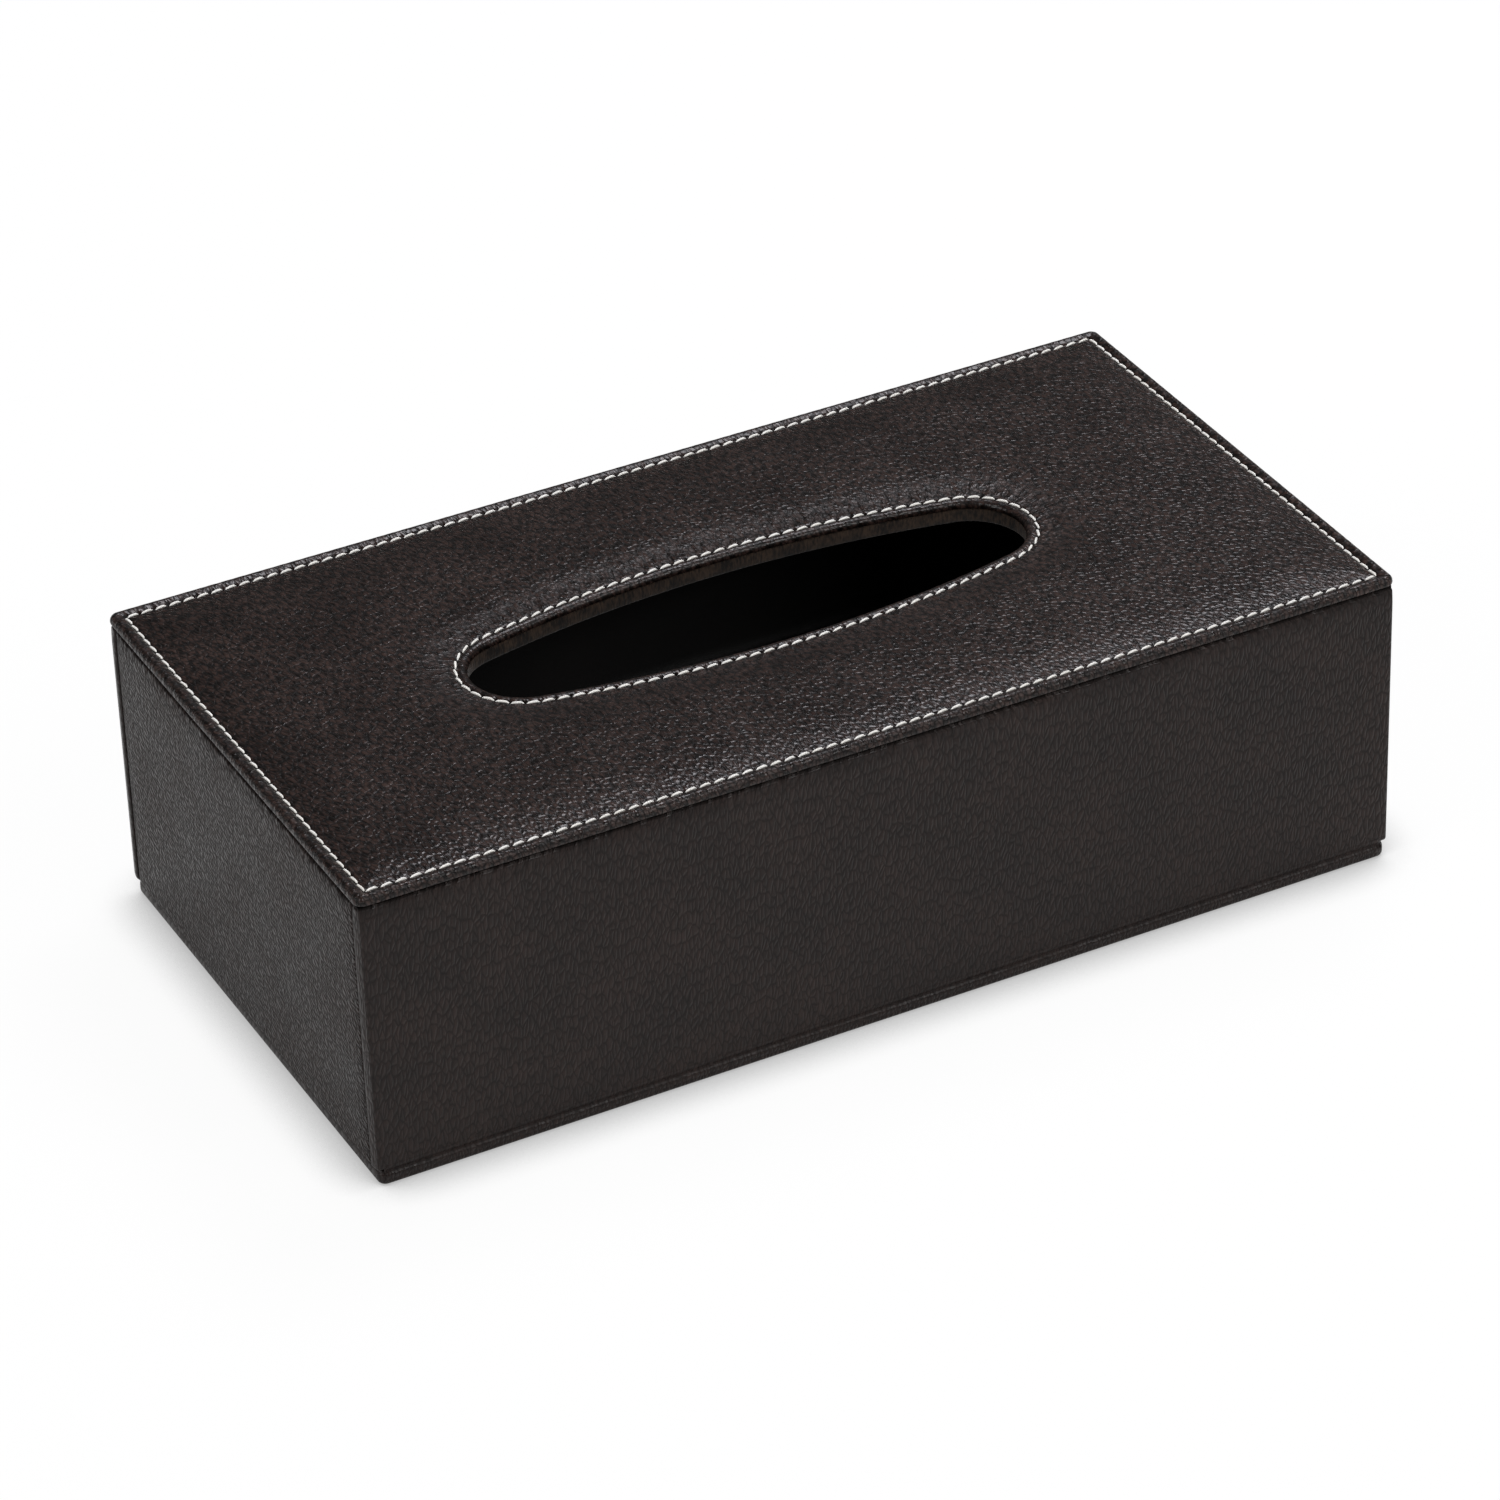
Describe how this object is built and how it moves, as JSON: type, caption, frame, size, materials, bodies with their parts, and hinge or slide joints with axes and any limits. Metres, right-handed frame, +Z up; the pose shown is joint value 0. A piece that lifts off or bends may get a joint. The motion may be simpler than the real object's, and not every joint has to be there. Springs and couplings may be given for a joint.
{
  "type": "tissue box cover",
  "caption": "Rectangular leather-covered case with a stitched padded top and an oval opening, hinged along one long edge to a magnetic base flap; hides a flat tissue carton.",
  "frame": {"origin": "middle of the underside of the base flap, which stands on the table", "axes": "+X along the long side, +Y from the hinged front wall to the back wall, +Z up"},
  "size_m": [0.25, 0.13, 0.0732],
  "materials": {
    "leather": "dark brown grained leather with a low sheen",
    "board": "raw fibreboard",
    "foam": "thin grey foam sheet",
    "velvet": "short-pile black-brown velvet",
    "suede": "brown suede cloth",
    "thread": "cream twisted thread",
    "magnet": "nickel plated",
    "keeper": "brushed steel"
  },
  "bodies": {
    "base_flap": {"base_board": "board", "base_leather": "leather", "base_lining": "velvet", "keeper_plates": "keeper", "hinge_fold": "leather"},
    "cover": {"top_board": "board", "top_lining": "velvet", "opening_lining": "suede", "top_pad": "foam", "top_leather": "leather", "edge_stitching": "thread", "opening_stitching": "thread", "closure_magnets": "magnet", "front_board": "board", "back_board": "board", "left_board": "board", "right_board": "board", "front_leather": "leather", "back_leather": "leather", "left_leather": "leather", "right_leather": "leather", "front_lining": "velvet", "back_lining": "velvet", "left_lining": "velvet", "right_lining": "velvet"}
  },
  "joints": [
    {"name": "cover_hinge", "type": "hinge", "parent": "base_flap", "child": "cover", "pos_m": [0, -0.06435, 0.0038], "axis": [1, 0, 0], "range_deg": [0, 92]}
  ]
}
